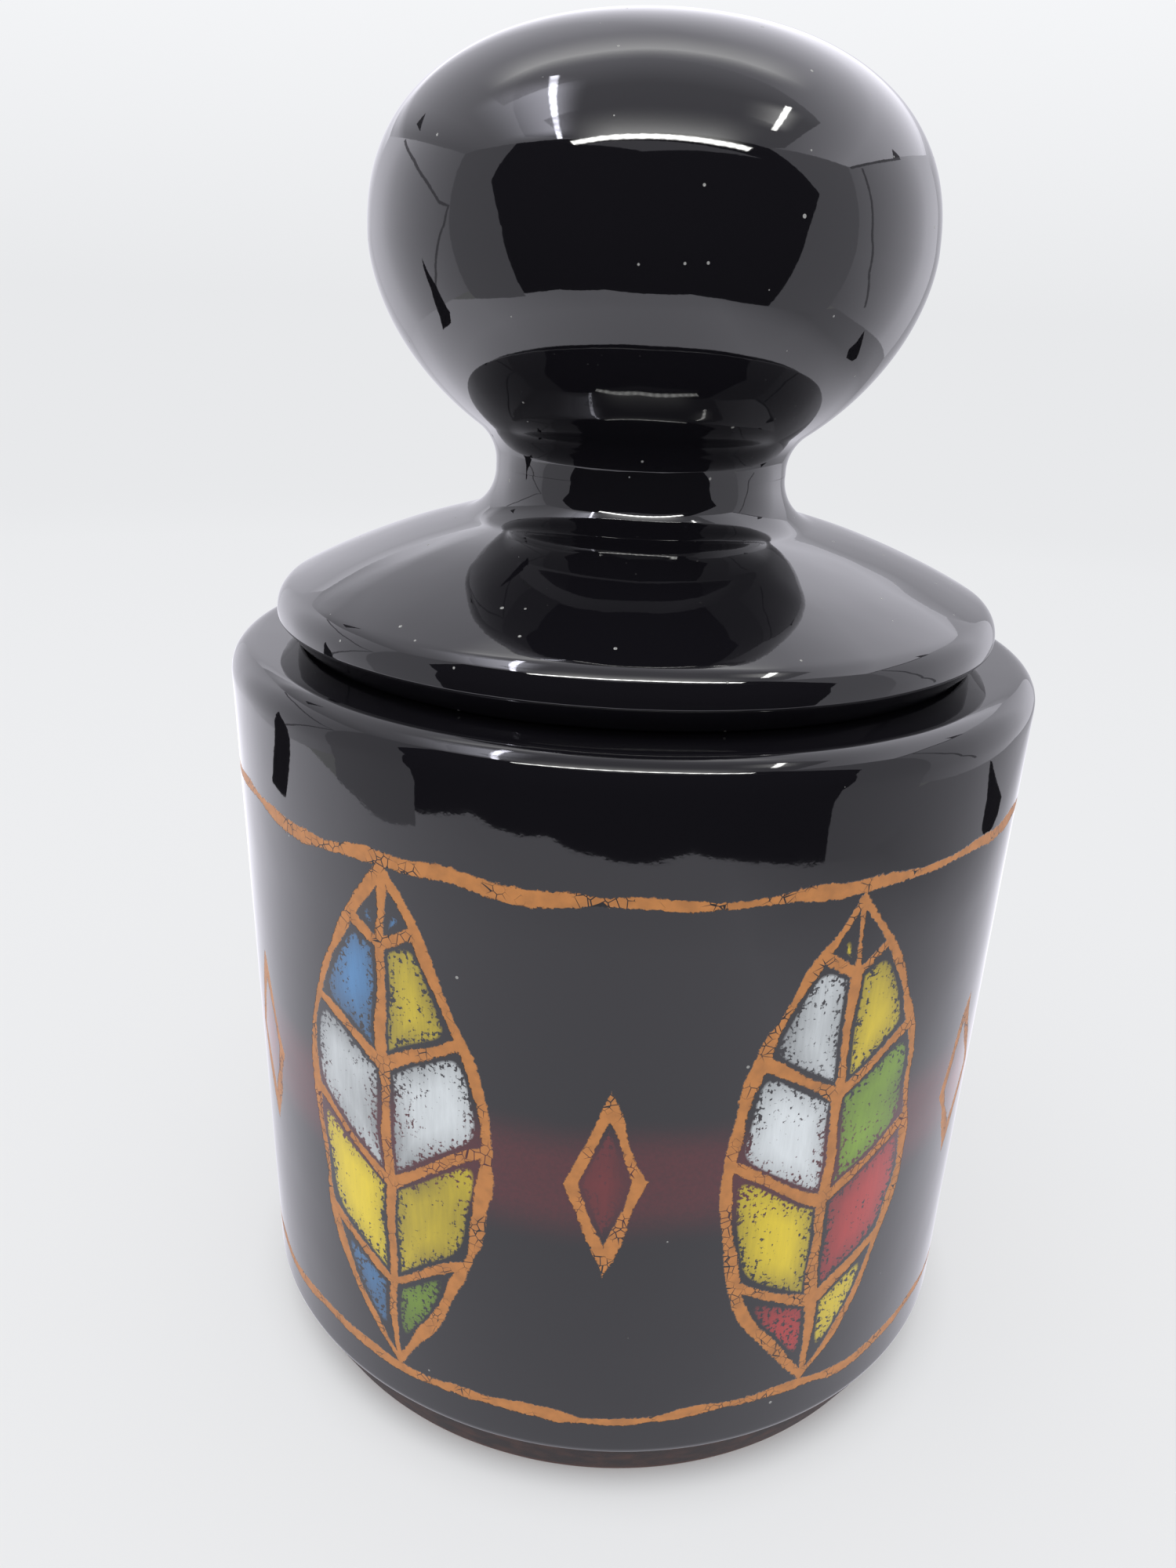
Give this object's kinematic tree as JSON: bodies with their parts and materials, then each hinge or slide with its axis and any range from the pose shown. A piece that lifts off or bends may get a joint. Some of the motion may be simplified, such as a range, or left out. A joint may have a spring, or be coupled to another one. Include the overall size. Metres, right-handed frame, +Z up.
{
  "type": "candy box",
  "caption": "Round lidded ceramic candy box: straight glazed wall, turned-in shoulder, foot ring, and a domed lift-off lid with a large hollow ball knob.",
  "frame": {"origin": "centre of the foot ring, on the surface that the box stands on", "axes": "+Z up along the axis of revolution, from the foot through the mouth to the knob; the middle between two leaves of the painted frieze faces -Y"},
  "size_m": [0.1078, 0.1078, 0.1757],
  "materials": {
    "box_glaze": "gloss black glaze with a coloured enamel design",
    "lid_glaze": "gloss black glaze",
    "knob_glaze": "gloss black glaze"
  },
  "bodies": {
    "box": {"box_body": "box_glaze"},
    "lid": {"lid": "lid_glaze", "knob": "knob_glaze"}
  },
  "joints": [
    {"name": "lid_lift", "type": "slide", "parent": "box", "child": "lid", "axis": [0, 0, 1], "range_m": [0, 0.06]}
  ]
}
